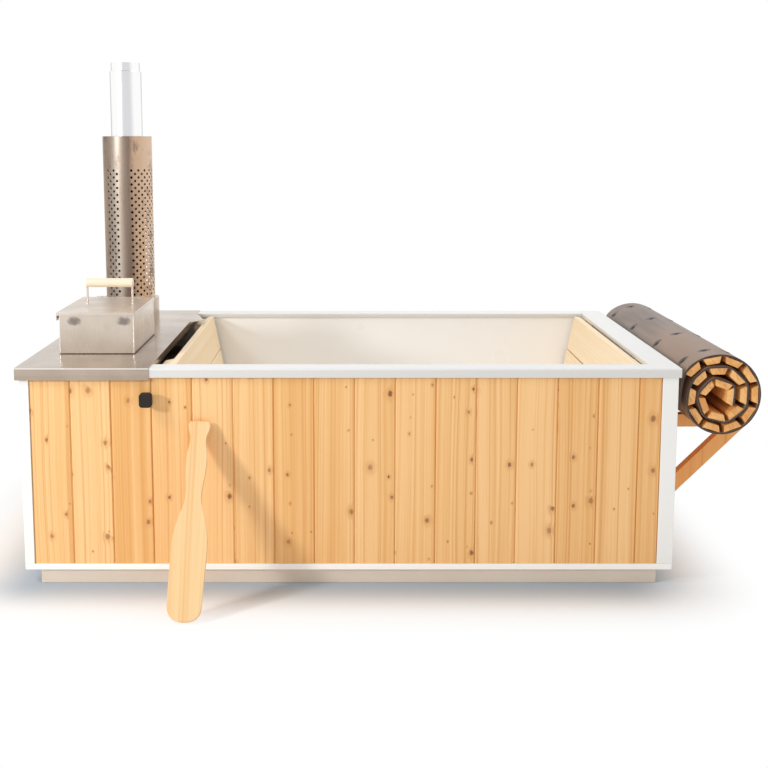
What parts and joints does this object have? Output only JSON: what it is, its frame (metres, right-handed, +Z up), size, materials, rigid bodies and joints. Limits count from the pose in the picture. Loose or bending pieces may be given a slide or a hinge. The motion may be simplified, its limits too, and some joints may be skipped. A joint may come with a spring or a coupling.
{
  "type": "wood-burning hot tub",
  "caption": "Rectangular wood-clad hot tub with a built-in wood stove, guarded flue, hinged fuel hatch, slatted backrests, drain valve and a rolled cover on brackets.",
  "frame": {"origin": "middle of the tub's footprint, on the floor it stands on", "axes": "+X along the tub from the stove end to the rolled cover, +Y from the front to the back, +Z up"},
  "size_m": [2.528, 1.8821, 1.8001],
  "materials": {
    "white_lacquer": "satin white powder coat",
    "spruce_cladding": "clear oiled knotty spruce",
    "frame_timber": "rough sawn",
    "plinth_board": "matte grey-beige",
    "foam": "closed cell foam",
    "liner_plastic": "satin cream moulded liner",
    "brushed_stainless": "brushed",
    "polished_stainless": "polished",
    "heat_tinted_steel": "heat tinted",
    "black_steel": "sooty",
    "handle_wood": "turned, unvarnished",
    "pine_boards": "planed, unvarnished",
    "black_plastic": "matte",
    "stained_wood": "reddish oiled",
    "valve_brass": "plain",
    "lever_red": "dipped",
    "cover_rubber": "coated cloth",
    "slat_wood": "oiled",
    "paddle_wood": "clear oiled"
  },
  "bodies": {
    "tub": {"plinth": "plinth_board", "plinth_joists": "frame_timber", "bottom_trim": "white_lacquer", "base_deck": "frame_timber", "post_front_left": "white_lacquer", "post_front_right": "white_lacquer", "post_back_left": "white_lacquer", "post_back_right": "white_lacquer", "cladding_front": "spruce_cladding", "cladding_back": "spruce_cladding", "cladding_right": "spruce_cladding", "drain_board": "spruce_cladding", "cladding_left": "spruce_cladding", "frame_rails": "frame_timber", "corner_studs": "frame_timber", "wall_insulation": "foam", "floor_insulation": "foam", "liner": "liner_plastic", "rim_front": "white_lacquer", "rim_right": "white_lacquer", "rim_back": "white_lacquer", "rim_left": "white_lacquer", "stove_cover_plate": "brushed_stainless", "cover_gusset": "brushed_stainless", "firebox": "black_steel", "firebox_feet": "black_steel", "fire_grate": "black_steel", "smoke_baffle": "black_steel", "hatch_box": "brushed_stainless", "lid_hinge_leaves": "brushed_stainless", "lid_hinge_pins": "brushed_stainless", "flue_collar": "brushed_stainless", "flue_pipe_lower": "polished_stainless", "flue_pipe_upper": "polished_stainless", "flue_guard": "heat_tinted_steel", "guard_standoffs": "brushed_stainless", "backrest_left_boards": "pine_boards", "backrest_left_cleats": "pine_boards", "backrest_right_boards": "pine_boards", "backrest_right_cleats": "pine_boards", "strap_knob": "black_plastic", "bracket_near_upright": "stained_wood", "bracket_near_arm": "stained_wood", "bracket_near_strut": "stained_wood", "bracket_far_upright": "stained_wood", "bracket_far_arm": "stained_wood", "bracket_far_strut": "stained_wood", "drain_tail": "valve_brass", "valve_body": "valve_brass"},
    "hatch_lid": {"hatch_lid": "brushed_stainless", "lid_hinge_straps": "brushed_stainless", "lid_handle_rods": "brushed_stainless", "lid_handle_grip": "handle_wood"},
    "rolled_cover": {"roll_sheet": "cover_rubber", "roll_slats": "slat_wood"},
    "drain_valve": {"valve_ball_and_stem": "valve_brass", "valve_lever": "lever_red"},
    "paddle": {"paddle": "paddle_wood"}
  },
  "joints": [
    {"name": "hatch_lid_hinge", "type": "hinge", "parent": "tub", "child": "hatch_lid", "pos_m": [-0.8835, 0.024, 0.879], "axis": [-1, 0, 0], "range_deg": [0, 105]},
    {"name": "cover_lift", "type": "slide", "parent": "tub", "child": "rolled_cover", "axis": [0, 0, 1], "range_m": [0, 0.4]},
    {"name": "drain_valve_turn", "type": "hinge", "parent": "tub", "child": "drain_valve", "pos_m": [1.138, 0.0455, 0.172], "axis": [0, 0, 1], "range_deg": [-90, 0]},
    {"name": "paddle_lift", "type": "slide", "parent": "tub", "child": "paddle", "axis": [0, -0.6, 0.8], "range_m": [0, 0.5]}
  ]
}
